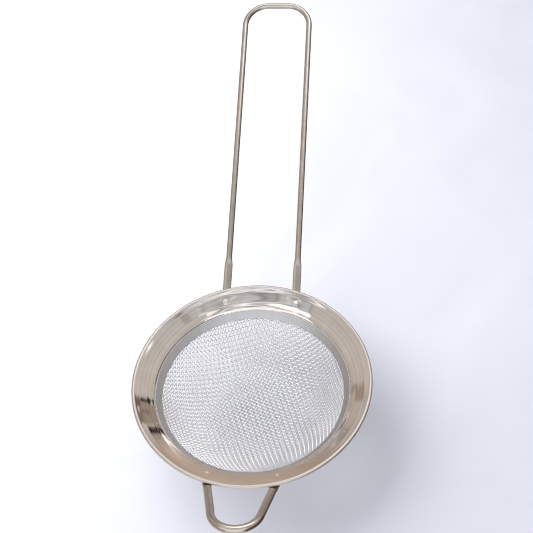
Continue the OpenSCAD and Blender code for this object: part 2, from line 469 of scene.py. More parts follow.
@dataclass(frozen=True)
class DrawnWire:
    """Stainless wire, cold drawn: bright, with hair lines from the die along its length."""

    name: str = "drawn_stainless_wire"
    colour: str = "#C3BBB2"
    shade: str = "#9D938A"
    roughness: float = 0.20
    line_pitch_mm: float = 0.16
    line_strength: float = 0.35
    line_bump_mm: float = 0.02
    line_stretch: float = 0.06
    handling_mm: float = 6.0

    def build(self) -> bpy.types.Material:
        """Make the material; the UV map gives millimetres round and along, so the lines follow the wire."""
        material, tree = new_material(self.name)
        coords = add(tree, "ShaderNodeTexCoord")
        # one hair line every line_pitch_mm round the wire, stretched out along it
        stretched = add(tree, "ShaderNodeVectorMath", {0: coords.outputs["UV"],
                                                       1: (1 / self.line_pitch_mm, self.line_stretch, 0.0)},
                        operation="MULTIPLY")
        lines = add(tree, "ShaderNodeTexNoise", {"Vector": stretched.outputs[0], "Scale": 1.0, "Detail": 3.0},
                    noise_dimensions="2D")
        handling = add(tree, "ShaderNodeTexNoise", {"Vector": coords.outputs["Object"], "Detail": 3.0,
                                                    "Scale": 1 / (self.handling_mm * MM)})
        mixed = add(tree, "ShaderNodeMix", {"Factor": handling.outputs["Fac"], "A": linear(self.colour),
                                            "B": linear(self.shade)}, data_type="RGBA")
        rough = add(tree, "ShaderNodeMapRange", {"Value": lines.outputs["Fac"], "To Min": self.roughness * 0.75,
                                                 "To Max": self.roughness * 1.25})
        bump = add(tree, "ShaderNodeBump", {"Height": lines.outputs["Fac"], "Strength": self.line_strength,
                                            "Distance": self.line_bump_mm * MM})
        shader = add(tree, "ShaderNodeBsdfPrincipled", {"Base Color": mixed.outputs["Result"], "Metallic": 1.0,
                                                        "Roughness": rough.outputs["Result"],
                                                        "Normal": bump.outputs["Normal"]})
        add(tree, "ShaderNodeOutputMaterial", {"Surface": shader.outputs["BSDF"]})
        return material


@dataclass(frozen=True)
class WeldMetal:
    """Steel fused by a resistance weld and buffed over: bright in the middle with a straw and grey heat ring."""

    bright: str = "#DCD8D3"
    straw: str = "#CFC3B2"
    burnt: str = "#C2BAB0"
    roughness: float = 0.14
    grain_mm: float = 0.4
    grain_bump_mm: float = 0.03

    def build(self) -> bpy.types.Material:
        """Make the material; the piece's UV map holds the distance from the weld's middle in millimetres."""
        material, tree = new_material("resistance_weld")
        coords = add(tree, "ShaderNodeTexCoord")
        out = add(tree, "ShaderNodeSeparateXYZ", {0: coords.outputs["UV"]}).outputs["X"]
        grain = add(tree, "ShaderNodeTexNoise", {"Vector": coords.outputs["Object"], "Detail": 4.0,
                                                 "Scale": 1 / (self.grain_mm * MM)})
        wander = add(tree, "ShaderNodeMath", {0: grain.outputs["Fac"], 1: 0.25, 2: out}, operation="MULTIPLY_ADD")
        ramp = add(tree, "ShaderNodeValToRGB", {"Fac": wander.outputs[0]},
                   stops=[(0.0, linear(self.bright)), (0.62, linear(self.bright)), (0.8, linear(self.straw)),
                          (1.0, linear(self.burnt))])
        bump = add(tree, "ShaderNodeBump", {"Height": grain.outputs["Fac"], "Strength": 0.4,
                                            "Distance": self.grain_bump_mm * MM})
        shader = add(tree, "ShaderNodeBsdfPrincipled", {"Base Color": ramp.outputs["Color"], "Metallic": 1.0,
                                                        "Roughness": self.roughness,
                                                        "Normal": bump.outputs["Normal"]})
        add(tree, "ShaderNodeOutputMaterial", {"Surface": shader.outputs["BSDF"]})
        return material


@dataclass(frozen=True)
class PaleCotton:
    """Plain cotton sheet, pressed flat: matt, nearly white, with a faint cool shade."""

    colour: str = "#EEF0F8"
    shade: str = "#E4E6F0"
    crease_mm: float = 60.0
    crease_h_mm: float = 6.0
    thread_mm: float = 0.5
    thread_h_mm: float = 0.1

    def build(self) -> bpy.types.Material:
        """Make the floor's material: soft creases and a thread grain, each at its own spacing."""
        material, tree = new_material("pale_cotton")
        place = add(tree, "ShaderNodeTexCoord").outputs["Object"]
        creases = add(tree, "ShaderNodeTexNoise", {"Vector": place, "Scale": 1 / (self.crease_mm * MM), "Detail": 2.0,
                                                   "Distortion": 0.8})
        grain = add(tree, "ShaderNodeTexNoise", {"Vector": place, "Scale": 1 / (self.thread_mm * MM), "Detail": 2.0})
        mixed = add(tree, "ShaderNodeMix", {"Factor": creases.outputs["Fac"], "A": linear(self.colour),
                                            "B": linear(self.shade)}, data_type="RGBA")
        soft = add(tree, "ShaderNodeBump", {"Height": creases.outputs["Fac"], "Strength": 0.35,
                                            "Distance": self.crease_h_mm * MM})
        fine = add(tree, "ShaderNodeBump", {"Height": grain.outputs["Fac"], "Strength": 0.2,
                                            "Distance": self.thread_h_mm * MM, "Normal": soft.outputs["Normal"]})
        shader = add(tree, "ShaderNodeBsdfPrincipled", {"Base Color": mixed.outputs["Result"], "Roughness": 0.9,
                                                        "Normal": fine.outputs["Normal"]})
        # seen from below the floor is clear, so the under side of the strainer can be looked at
        below = add(tree, "ShaderNodeNewGeometry").outputs["Backfacing"]
        clear = add(tree, "ShaderNodeBsdfTransparent")
        either = add(tree, "ShaderNodeMixShader", {0: below, 1: shader.outputs["BSDF"], 2: clear.outputs["BSDF"]})
        add(tree, "ShaderNodeOutputMaterial", {"Surface": either.outputs["Shader"]})
        return material


# ---------------------------------------------------------------- shared section of the rim


@dataclass(frozen=True)
class RimSection:
    """Sizes and lines of the rim in the (radius, height) half plane, in millimetres and degrees.

    The flange falls inward at a slope; normal_up and dir_in are the unit vectors across and down such a slope.
    """

    rim_d: float = 75.0
    bead_d: float = 1.3
    sheet_t: float = 0.45
    flange_slope: float = 35.0
    flange_w: float = 5.75
    lip_r: float = 1.8
    lip_end: float = 74.0
    hem_t: float = 0.3
    hem_slope: float = 40.0
    hem_show: float = 2.23
    hem_hide: float = 1.07
    cloth_t: float = 0.6
    weld_r: float = 33.75
    lip_gap: float = 0.01  # between the lip and the binding ring
    cloth_gap: float = 0.01  # between the cloth and each leaf of the ring
    fold_gap: float = 0.005  # between the ring's fold and the flange
    cloth_show: float = 0.35  # cloth that shows below the leaves before the bowl starts
    crown_h: float = 0.10
    crown_rise: float = 1.7
    crown_fall: tuple[float, float] = (4.5, 6.7)

    @staticmethod
    def dir_in(angle: float) -> np.ndarray:
        """Unit vector inward and down a slope."""
        return np.array([-math.cos(math.radians(angle)), -math.sin(math.radians(angle))])

    @staticmethod
    def normal_up(angle: float) -> np.ndarray:
        """Unit vector square to a slope, upward."""
        return np.array([-math.sin(math.radians(angle)), math.cos(math.radians(angle))])

    @property
    def bead_centre_r(self) -> float:
        """Radius of the bead's centre circle."""
        return (self.rim_d - self.bead_d) / 2

    @property
    def top_at(self) -> np.ndarray:
        """Point where the flange's upper face leaves the bead."""
        return np.array([self.bead_centre_r, 0.0]) + self.bead_d / 2 * self.normal_up(self.flange_slope)

    def flange_top(self, radius: Any) -> Any:
        """Height of the flange's upper face at a radius."""
        return self.top_at[1] - math.tan(math.radians(self.flange_slope)) * (self.top_at[0] - radius)

    def flange_under(self, radius: Any) -> Any:
        """Height of the flange's under face at a radius."""
        return self.flange_top(radius) - self.sheet_t / math.cos(math.radians(self.flange_slope))

    @property
    def lip_centre(self) -> np.ndarray:
        """Centre of the rounded lip's arc."""
        start = self.bead_centre_r - self.flange_w
        return np.array([start, self.flange_top(start)]) - self.lip_r * self.normal_up(self.flange_slope)

    @property
    def lip_inner(self) -> np.ndarray:
        """Corner of the lip that bears on the binding ring."""
        return self.lip_centre + (self.lip_r - self.sheet_t) * self.normal_up(self.lip_end)

    @property
    def hem_mid(self) -> float:
        """Distance from the inner leaf's upper face to the cloth's middle."""
        return self.hem_t + self.cloth_t / 2 + self.cloth_gap

    def leaf(self, along: float) -> np.ndarray:
        """Point on the inner leaf's upper face, at a horizontal distance inward from the lip's corner."""
        slope = math.radians(self.hem_slope)
        return (self.lip_inner - self.lip_gap * self.normal_up(self.hem_slope)
                + along * self.dir_in(self.hem_slope) / math.cos(slope))

    @property
    def fold_centre(self) -> np.ndarray:
        """Centre of the binding ring's outer fold."""
        return self.leaf(-self.hem_hide) - self.hem_mid * self.normal_up(self.hem_slope)

    @property
    def fold_radius(self) -> float:
        """Outer radius of the fold, which just clears the flange."""
        radius, height = self.fold_centre
        return (self.flange_under(radius) - height) * math.cos(math.radians(self.flange_slope)) - self.fold_gap

    @property
    def skirt_foot(self) -> np.ndarray:
        """Point where the cloth comes out from between the leaves and the bowl starts."""
        return (self.leaf(self.hem_show) - self.hem_mid * self.normal_up(self.hem_slope)
                + self.cloth_show * self.dir_in(self.hem_slope))

    def crown(self, inward: Any) -> Any:
        """Rise of the flange over its straight line, at a distance inward from the bead along the slope.

        The sheet comes off the bead a little flatter and turns down gently before the lip: a smooth step up within
        crown_rise of the bead, and a smooth step down over crown_fall.
        """
        return self.crown_h * smooth(inward, 0.0, self.crown_rise) * (1 - smooth(inward, *self.crown_fall))

    def weld_place(self, x: float, away: int, lift: float = 0.0) -> tuple[np.ndarray, np.ndarray]:
        """Place and upward unit normal of a spot weld on the flange.

        Args:
            x: sideways place of the wire.
            away: 1 for the handle's side, -1 for the rest's side.
            lift: distance from the flange's under face along the normal.

        Returns:
            The point and the normal.
        """
        y = away * math.sqrt(self.weld_r**2 - x * x)
        outward = np.array([x, y, 0.0]) / self.weld_r
        slope = math.radians(self.flange_slope)
        normal = -outward * math.sin(slope) + np.array([0, 0, math.cos(slope)])
        inward = (self.top_at[0] - self.weld_r) / math.cos(slope)
        point = np.array([x, y, self.flange_under(self.weld_r)])
        return point + (lift + float(self.crown(inward))) * normal, normal


# ---------------------------------------------------------------- the wires' sizes


@dataclass(frozen=True)
class BentWire:
    """One bent wire with flattened ends, in millimetres and degrees.

    The wire lies in a plane that rises outward from under the bead. In that plane x is across the strainer and y runs
    outward from a point origin_y from the middle. away is 1 on the handle's side and -1 on the rest's. The section is
    flat up to flat_length and round from there on by grow. The bead rests on the wire with bead_gap between them, and
    further in than bead_clear from the bead's centre the wire keeps sheet_gap below the flange.
    """

    name: str
    node: str
    away: int
    wire_d: float
    half_width: float
    rise: float
    flat_length: float
    grow: float
    start: float
    fine_to: float
    fine_step: float
    flat_w: float = 2.7
    flat_t: float = 1.15
    flat_power: float = 3.2
    origin_y: float = 36.0
    bead_gap: float = 0.01
    sheet_gap: float = 0.004
    bead_clear: float = 0.45
    section: RimSection = field(default_factory=RimSection)

    def centre_height(self) -> float:
        """Height of the plane at its origin, so that the flattened wire bears on the bead."""
        s = self.section
        reach = math.sqrt(s.bead_centre_r**2 - self.half_width**2)
        rise = math.radians(self.rise)
        return (math.tan(rise) * (self.origin_y - reach)
                - (s.bead_d / 2 + self.bead_gap + self.flat_t / 2) / math.cos(rise))

    def leg_places(self, end: float, count: int) -> np.ndarray:
        """Places along a leg: short steps up to fine_to, then a number of even ones to its end."""
        return np.concatenate([np.arange(self.start, self.fine_to, self.fine_step),
                               np.linspace(self.fine_to, end, count)])

    def bend(self) -> np.ndarray:
        """Right half of the wire's centre line in its own plane, from the weld to the middle of the loop."""
        raise NotImplementedError

    def build(self, finish: bpy.types.Material, slot: str, sides: int = 28) -> bpy.types.Object:
        """Carry the section along the whole bend and set it under the flange.

        The half line is mirrored to make the whole. The section goes from a flattened superellipse at both ends to a
        circle with a smooth step on the distance from the nearer end. Points that would rise above the flange's under
        face are pressed down to it.

        Args:
            finish: the wire's material.
            slot: the record's material slot; passed on to finish_piece, which does not use it.
            sides: points in each section.

        Returns:
            The finished piece.
        """
        half = self.bend()
        flat = np.concatenate([half, (half * [-1, 1])[::-1][1:]])
        length = running_length(flat)
        from_end = np.minimum(length, length[-1] - length)
        flat_end = self.flat_length - self.start
        round_share = smooth(from_end, flat_end, flat_end + self.grow)
        wide = self.flat_w / 2 + (self.wire_d / 2 - self.flat_w / 2) * round_share
        high = self.flat_t / 2 + (self.wire_d / 2 - self.flat_t / 2) * round_share
        power = self.flat_power + (2 - self.flat_power) * round_share
        rise = math.radians(self.rise)
        path = np.stack([flat[:, 0], self.origin_y + flat[:, 1] * math.cos(rise),
                         self.centre_height() + flat[:, 1] * math.sin(rise)], axis=1)
        up = np.broadcast_to(np.array([0, -math.sin(rise), math.cos(rise)]), path.shape)
        side = np.cross(unit(np.gradient(path, axis=0)), up)
        points, quads, triangles, uv = tube(path, side, up, wide, high, power, sides)
        radius = np.hypot(points[:, 0], points[:, 1])
        ceiling = self.section.flange_under(radius) - self.sheet_gap
        near = radius < self.section.bead_centre_r - self.bead_clear
        points[:, 2] = np.where(near, np.minimum(points[:, 2], ceiling), points[:, 2])
        if self.away < 0:
            points = points * [-1, -1, 1]
        piece = make_piece(self.name, points, quads, triangles, uv)
        return finish_piece(piece, finish, slot, self.node)


@dataclass(frozen=True)
class HandleWire(BentWire):
    """The long handle: two parallel legs joined by a square-shouldered loop."""

    name: str = "handle_wire_bent"
    node: str = "handle_wire"
    away: int = 1
    wire_d: float = 2.0
    half_width: float = 11.6
    rise: float = 20.0
    flat_length: float = 8.6
    grow: float = 3.6
    start: float = -5.1
    fine_to: float = 15.0
    fine_step: float = 0.35
    length: float = 111.0
    loop_r: float = 8.2

    def bend(self) -> np.ndarray:
        """Leg straight out, quarter circle inward, short straight to the middle."""
        top = self.length - self.wire_d / 2 - self.loop_r
        corner = self.half_width - self.loop_r
        y = self.leg_places(top, 40)
        leg = np.stack([np.full(len(y), self.half_width), y], axis=1)
        bend = arc(np.array([corner, top]), self.loop_r, 0, 90, 24)
        x = np.linspace(corner, 0, 5)[1:]
        over = np.stack([x, np.full(len(x), top + self.loop_r)], axis=1)
        return np.concatenate([leg, bend[1:], over])


@dataclass(frozen=True)
class RestWire(BentWire):
    """The short cup rest: two legs that lean together and one round bend."""

    name: str = "rest_wire_bent"
    node: str = "rest_wire"
    away: int = -1
    wire_d: float = 2.5
    half_width: float = 9.85
    rise: float = 20.0
    flat_length: float = 0.4
    grow: float = 1.7
    start: float = -4.2
    fine_to: float = 5.0
    fine_step: float = 0.25
    length: float = 17.6
    bend_r: float = 7.3
    weld_back: float = 2.6

    @property
    def lean(self) -> float:
        """How far each leg leans inward, in radians, so that it runs straight into the bend."""
        centre = self.length - self.bend_r
        return math.acos(self.bend_r / math.hypot(self.half_width, centre)) - math.atan2(centre, self.half_width)

    def weld_x(self) -> float:
        """Sideways place of the leg at its weld."""
        return self.half_width + self.weld_back * math.tan(self.lean)

    def bend(self) -> np.ndarray:
        """Leaning leg up to the bend's tangent point, then the bend to the middle."""
        centre = self.length - self.bend_r
        lean = self.lean
        tangent = np.array([self.bend_r * math.cos(lean), centre + self.bend_r * math.sin(lean)])
        y = self.leg_places(tangent[1], 12)
        leg = np.stack([tangent[0] + (tangent[1] - y) * math.tan(lean), y], axis=1)
        bend = arc(np.array([0, centre]), self.bend_r, math.degrees(lean), 90, 32)
        return np.concatenate([leg, bend[1:]])


# ---------------------------------------------------------------- rim, ring, cloth, welds


@dataclass(frozen=True)
class WeldDish:
    """The dent that a spot weld leaves in the flange: a dish with a faint raised edge, in a wider soft hollow."""

    radius: float = 0.94
    depth: float = 0.06
    hollow_r: float = 2.4
    hollow_depth: float = 0.05
    edge_r: float = 1.0528
    edge_w: float = 0.2
    edge_h: float = 0.006

    def sunk(self, away: np.ndarray | float) -> np.ndarray:
        """Height, negative, of the dish (a parabola) and the hollow (a bell curve) at a distance from the middle."""
        return (-self.depth * np.clip(1 - (away / self.radius) ** 2, 0, 1)
                - self.hollow_depth * np.exp(-((away / self.hollow_r) ** 2)))

    def edge(self, away: np.ndarray) -> np.ndarray:
        """Height of the raised edge, a narrow bell curve."""
        return self.edge_h * np.exp(-(((away - self.edge_r) / self.edge_w) ** 2))


@dataclass(frozen=True)
class RimBand:
    """The spun rim: rounded lip, sloping flange and curled bead in one sheet.

    weld_xs are the sideways places of the handle's and the rest's welds. wavy_from and wavy_to are the lengths along
    the section, from the lip, over which the waves fade in and out.
    """

    weld_xs: tuple[float, float]
    section: RimSection = field(default_factory=RimSection)
    dish: WeldDish = field(default_factory=WeldDish)
    turns: int = 780
    extra_turns: float = 4.0
    extra_degrees: float = 2.4
    span: float = 0.26
    bead_end: float = -155.0
    waves: tuple[Wave, ...] = (Wave(0.015, 2, 0.6), Wave(0.009, 3, 2.1, 0.25), Wave(0.005, 7, 1.0, 0.5),
                               Wave(0.003, 13, 4.0, -0.6))
    puckers: tuple[Wave, ...] = (Wave(0.0014, 41, 0.0, 0.8), Wave(0.0007, 67, 2.0))
    pucker_from: tuple[float, float] = (4.5, 9.0)
    groove_h: float = 0.0016
    groove_turn: float = 2.1
    groove_from: tuple[float, float] = (1.5, 4.0)
    wavy_from: tuple[float, float] = (0.6, 2.2)
    wavy_to: tuple[float, float] = (8.6, 9.6)
    under_slack: float = 0.05
    skin: float = 0.15
    dent_reach: float = 6.0

    def angles(self) -> np.ndarray:
        """Turns round the rim, closer together near the welds.

        The density is 1 plus a bell curve of extra_turns, extra_degrees wide, at each weld. Equal steps of its
        running sum give the turns.
        """
        fine = np.linspace(0, 2 * math.pi, 7201)  # every twentieth of a degree
        density = np.ones_like(fine)
        for x, away in zip(self.weld_xs, (1, -1)):
            at = math.atan2(away * math.sqrt(self.section.weld_r**2 - x * x), x) % (2 * math.pi)
            for centre in (at, (math.pi - at) % (2 * math.pi)):
                density += self.extra_turns * np.exp(-(((fine - centre) / math.radians(self.extra_degrees)) ** 2))
        total = np.concatenate([[0.0], np.cumsum((density[1:] + density[:-1]) / 2)])
        return np.interp(np.linspace(0, total[-1], self.turns, endpoint=False), total, fine)

    def middle_line(self) -> np.ndarray:
        """Lip arc, straight flange and curl of the bead, as the sheet's middle line."""
        s = self.section
        lip = arc(s.lip_centre, s.lip_r - s.sheet_t / 2, 90 + s.lip_end, 90 + s.flange_slope, 9)
        bead_r = (s.bead_d - s.sheet_t) / 2
        bead = arc(np.array([s.bead_centre_r, 0.0]), bead_r, 90 + s.flange_slope, self.bead_end, 20)
        return np.concatenate([lip[:-1], refine(np.stack([lip[-1], bead[0]]), self.span), bead[1:]])

    def ripple(self, turn: np.ndarray, along: np.ndarray) -> np.ndarray:
        """Height in millimetres of the soft waves that spinning leaves on the sheet.

        The long waves run all over the flange. Short puckers from the curling are added near the bead, and shallow
        spinning grooves, which wander in and out twice in a turn, over the flange.
        """
        grooves = self.groove_h * np.cos(self.groove_turn * along + 0.7 * np.cos(2 * turn + 1.0))
        puckers = smooth(along, *self.pucker_from) * waviness(self.puckers, turn, along)
        return waviness(self.waves, turn, along) + puckers + smooth(along, *self.groove_from) * grooves

    def build(self, finish: bpy.types.Material) -> bpy.types.Object:
        """Revolve the walled section, wave it, press the weld dishes and dress it.

        Args:
            finish: polished stainless.

        Returns:
            The finished piece.
        """
        s = self.section
        outline, along = walled(self.middle_line(), s.sheet_t / 2)
        turn = self.angles()
        wavy = smooth(along, *self.wavy_from) * (1 - smooth(along, *self.wavy_to))
        inward = (s.top_at[0] - outline[:, 0]) / math.cos(math.radians(s.flange_slope))
        lowest = s.flange_under(outline[:, 0]) - self.under_slack
        on_cone = (outline[:, 0] < s.top_at[0]) & (outline[:, 1] > lowest)
        height = self.ripple(turn[:, None], along) * wavy + np.where(on_cone, s.crown(inward), 0)
        points = revolve(outline, turn) + height[..., None] * cone_normal(turn, s.flange_slope)
        for x, away in zip(self.weld_xs, (1, -1)):
            for sign in (1, -1):
                place, up = s.weld_place(sign * x, away, s.sheet_t)
                offset = points - place
                above = offset @ up
                across = np.linalg.norm(offset - above[..., None] * up, axis=-1)
                upper = (above > -self.skin) & (across < self.dent_reach)
                dent = self.dish.sunk(across) + self.dish.edge(across)
                points = points + np.where(upper, dent, 0)[..., None] * up
        quads = ring_faces(len(turn), len(outline), True, True)
        piece = make_piece("rim_band_spun", points.reshape(-1, 3), quads)
        return finish_piece(piece, finish, "polished_steel", "rim_band")


@dataclass(frozen=True)
class BindingRing:
    """The folded strip that grips the cloth's edge under the lip."""

    section: RimSection = field(default_factory=RimSection)
    turns: int = 720
    span: float = 0.4
    free_w: float = 2.6
    waves: tuple[Wave, ...] = (Wave(0.020, 37, 0.5), Wave(0.016, 53, 2.0), Wave(0.020, 5, 1.1), Wave(0.012, 91, 3.0))

    def middle_line(self) -> np.ndarray:
        """Inner leaf, bulged fold and outer leaf as the strip's middle line."""
        s = self.section
        half = s.hem_t / 2
        fold = s.fold_radius - half
        opening = math.degrees(math.asin((s.hem_mid - half) / fold))
        normal = s.normal_up(s.hem_slope)
        low = s.leaf(s.hem_show)
        bulge = arc(s.fold_centre, fold, 180 + s.hem_slope - opening, s.hem_slope - 180 + opening, 22)
        line = np.concatenate([[low - half * normal], bulge, [low - (2 * s.hem_mid - half) * normal]])
        return refine(line, self.span)

    def build(self, finish: bpy.types.Material) -> bpy.types.Object:
        """Revolve the strip, with the small unevenness that the press leaves on its leaves.

        The leaves are moved along the slope's normal by the waves, which grow over free_w towards their free edges.

        Args:
            finish: satin stainless.

        Returns:
            The finished piece.
        """
        s = self.section
        outline, along = walled(self.middle_line(), s.hem_t / 2)
        turn = np.linspace(0, 2 * math.pi, self.turns, endpoint=False)
        total = along.max()
        free = np.maximum(1 - smooth(along, 0, self.free_w), smooth(along, total - self.free_w, total))
        height = waviness(self.waves, turn[:, None]) * free
        points = revolve(outline, turn) + height[..., None] * cone_normal(turn, s.hem_slope)
        quads = ring_faces(len(turn), len(outline), True, True)
        piece = make_piece("binding_ring_pressed", points.reshape(-1, 3), quads)
        return finish_piece(piece, finish, "satin_steel", "binding_ring")


@dataclass(frozen=True)
class Profile:
    """A surface turned round the Z axis, as its height and slope sampled along the radius."""

    radius: np.ndarray
    height: np.ndarray
    slope: np.ndarray

    def height_at(self, radius: Any) -> Any:
        """Height at a radius."""
        return np.interp(radius, self.radius, self.height)

    def gradient_at(self, xy: np.ndarray) -> np.ndarray:
        """Gradient of the height, (n, 2), at (n, 2) places: the slope along the outward direction."""
        radius = np.maximum(np.hypot(xy[:, 0], xy[:, 1]), 1e-6)[:, None]
        return np.interp(radius, self.radius, self.slope) * xy / radius


@dataclass(frozen=True)
class ClothBowl:
    """Plain-woven wire cloth pressed into a bowl: every warp and weft wire is there, crimped over and under.

    The crossings form a net of equal steps on the bowl, as cloth does when it is pushed into a dome: the middle warp
    and weft lie on meridians, and each next crossing is one pitch from its two neighbours. reach is the number of
    crossings each way from the middle, and rings the number of sections from one crossing to the next.
    """

    section: RimSection = field(default_factory=RimSection)
    pitch: float = 1.08
    wire_d: float = 0.41
    crimp: float = 0.18
    bowl_h: float = 15.42
    bowl_full: float = 3.3
    foot_blend: float = 0.3
    warp_angle: float = -21.5
    weft_angle: float = 62.5
    reach: int = 46
    rings: int = 4
    sides: int = 6
    end_cap: float = 0.6
    edge_inset: float = 0.25
    spare: float = 1.2
    net_r: float = 40.0
    net_error: float = 0.02
    newton_steps: int = 9
    longest_move: float = 0.5

    def surface(self) -> Profile:
        """Middle surface of the cloth.

        Inside the skirt's foot the height is foot - h (1 - (r / R)^p); outside it the skirt rises at the hem's slope.
        The two slopes are blended over foot_blend each side of the foot and added up from it.
        """
        foot = self.section.skirt_foot
        radius = np.linspace(0, 60, 12001)  # every 0.005 mm
        bowl = self.bowl_h * self.bowl_full / foot[0] * (radius / foot[0]) ** (self.bowl_full - 1)
        skirt = math.tan(math.radians(self.section.hem_slope))
        share = smooth(radius, foot[0] - self.foot_blend, foot[0] + self.foot_blend)
        slope = np.where(radius < foot[0] + 1, bowl, 0) * (1 - share) + skirt * share
        height = np.concatenate([[0.0], np.cumsum((slope[1:] + slope[:-1]) / 2 * np.diff(radius))])
        height += foot[1] - np.interp(foot[0], radius, height)
        return Profile(radius, height, slope)

    def meridian(self, surface: Profile) -> tuple[np.ndarray, np.ndarray]:
        """Radii and heights of points that follow each other by one pitch of chord, from the middle outward."""
        steps = [0.0]
        for _ in range(self.reach):
            near = surface.radius[(surface.radius > steps[-1]) & (surface.radius <= steps[-1] + self.pitch)]
            rise = surface.height_at(near) - surface.height_at(steps[-1])
            steps.append(float(np.interp(self.pitch, np.hypot(near - steps[-1], rise), near)))
        return np.array(steps), surface.height_at(steps)

    def next_crossings(self, surface: Profile, a: np.ndarray, b: np.ndarray, back: np.ndarray) -> np.ndarray:
        """Points of the surface one pitch from both of two known crossings.

        Newton's method on x and y, from the fourth corner of the parallelogram. Both errors are a squared distance
        less the squared pitch.

        Args:
            surface: the cloth's middle surface.
            a: (n, 3) known crossings.
            b: (n, 3) known crossings.
            back: (n, 3) crossings one pitch before both.

        Returns:
            (n, 3) points, not a number where there is none or it lies too far out.
        """
        xy = (a + b - back)[:, :2]
        for _ in range(self.newton_steps):
            place = np.concatenate([xy, surface.height_at(np.hypot(xy[:, 0], xy[:, 1]))[:, None]], axis=1)
            gradient = surface.gradient_at(xy)
            errors, slopes = [], []
            for known in (a, b):
                off = place - known
                errors.append((off**2).sum(axis=1) - self.pitch**2)
                slopes.append(2 * (off[:, :2] + off[:, 2:] * gradient))
            (e0, e1), (g0, g1) = errors, slopes
            with np.errstate(all="ignore"):
                move = (np.stack([e0 * g1[:, 1] - e1 * g0[:, 1], e1 * g0[:, 0] - e0 * g1[:, 0]], axis=1)
                        / (g0[:, 0] * g1[:, 1] - g0[:, 1] * g1[:, 0])[:, None])
            xy = xy - np.clip(move, -self.longest_move, self.longest_move)
        radius = np.hypot(xy[:, 0], xy[:, 1])
        point = np.concatenate([xy, surface.height_at(radius)[:, None]], axis=1)
        miss = np.abs(np.linalg.norm(point - a, axis=1) - self.pitch)
        good = (miss < self.net_error) & (radius < self.net_r)
        return np.where(good[:, None], point, np.nan)

    def net(self, surface: Profile) -> np.ndarray:
        """Places of the crossings, (2n+1, 2n+1, 3) for warp step and weft step, filled from the middle outward.

        Each quarter is filled one diagonal at a time, from the diagonal before it.
        """
        n = self.reach
        grid = np.full((2 * n + 1, 2 * n + 1, 3), np.nan)
        radius, height = self.meridian(surface)
        warp, weft = (np.stack([radius * math.cos(math.radians(angle)), radius * math.sin(math.radians(angle)), height],
                               axis=1) for angle in (self.warp_angle, self.weft_angle))
        flip = np.array([-1, -1, 1.0])
        grid[n:, n], grid[n::-1, n] = warp, warp * flip
        grid[n, n:], grid[n, n::-1] = weft, weft * flip
        for su in (1, -1):
            for sv in (1, -1):
                for d in range(2, 2 * n + 1):
                    i = np.arange(max(1, d - n), min(n, d - 1) + 1)
                    j = d - i
                    grid[n + su * i, n + sv * j] = self.next_crossings(
                        surface, grid[n + su * (i - 1), n + sv * j], grid[n + su * i, n + sv * (j - 1)],
                        grid[n + su * (i - 1), n + sv * (j - 1)])
        return grid

    def wires(self, surface: Profile, grid: np.ndarray, family: Family) -> list[tuple[np.ndarray, ...]]:
        """Tubes of one family.

        Each wire passes its crossings on a smooth cubic line; at a fractional step u of wire j it is moved along the
        surface's normal by crimp cos(pi (u + j)), with the other family moved the opposite way.

        Args:
            surface: the cloth's middle surface.
            grid: the crossings.
            family: warp or weft.

        Returns:
            One tube for each wire.
        """
        lines = grid if family is Family.WEFT else grid.transpose(1, 0, 2)
        sign = 1 if family is Family.WARP else -1
        cut = self.section.fold_centre[0] - self.edge_inset
        out: list[tuple[np.ndarray, ...]] = []
        for j, line in enumerate(lines):
            away = np.hypot(line[:, 0], line[:, 1])
            inside = away < cut + self.spare  # a crossing that is not a number is never inside
            if inside.sum() < 4:
                continue
            middle = np.argmin(np.where(inside, away, np.inf))
            gaps = np.flatnonzero(~inside)
            low = gaps[gaps < middle].max(initial=-1) + 1
            high = gaps[gaps > middle].min(initial=len(line)) - 1
            if high - low < 3:
                continue
            u = np.arange(0, (high - low) * self.rings + 1) / self.rings
            centre = cubic(line[low : high + 1], u)
            keep = np.flatnonzero(np.hypot(centre[:, 0], centre[:, 1]) < cut)
            if len(keep) < 6:
                continue
            centre, u = centre[keep[0] : keep[-1] + 1], u[keep[0] : keep[-1] + 1]
            normal = unit(np.concatenate([-surface.gradient_at(centre[:, :2]), np.ones((len(u), 1))], axis=1))
            path = centre + (sign * self.crimp * np.cos(math.pi * (u + low + j)))[:, None] * normal
            ahead = unit(np.gradient(path, axis=0))
            side = unit(np.cross(ahead, normal))
            half = np.full(len(u), self.wire_d / 2)
            round_power = np.full(len(u), 2.0)
            out.append(tube(path, side, np.cross(side, ahead), half, half, round_power, self.sides, self.end_cap))
        return out

    def build(self, finish: bpy.types.Material) -> list[bpy.types.Object]:
        """Make the warp and the weft, each as one piece.

        Args:
            finish: bright annealed wire.

        Returns:
            The two finished pieces.
        """
        surface = self.surface()
        grid = self.net(surface)
        pieces = []
        for family in Family:
            piece = make_piece(f"cloth_{family.name.lower()}_wires", *joined(self.wires(surface, grid, family)))
            pieces.append(finish_piece(piece, finish, "wire_cloth", "mesh_bowl"))
        return pieces


def cubic(knots: np.ndarray, u: np.ndarray) -> np.ndarray:
    """Smooth line through evenly numbered points (Catmull and Rom's cubic).

    Args:
        knots: (n, 3) points at whole numbers.
        u: places between 0 and n - 1.

    Returns:
        (len(u), 3) points.
    """
    padded = np.concatenate([2 * knots[:1] - knots[1:2], knots, 2 * knots[-1:] - knots[-2:-1]])
    base = np.clip(np.floor(u).astype(int), 0, len(knots) - 2)
    t = (u - base)[:, None]
    p0, p1, p2, p3 = (padded[base + k] for k in range(4))
    return 0.5 * (2 * p1 + (p2 - p0) * t + (2 * p0 - 5 * p1 + 4 * p2 - p3) * t**2 + (3 * p1 - p0 - 3 * p2 + p3) * t**3)


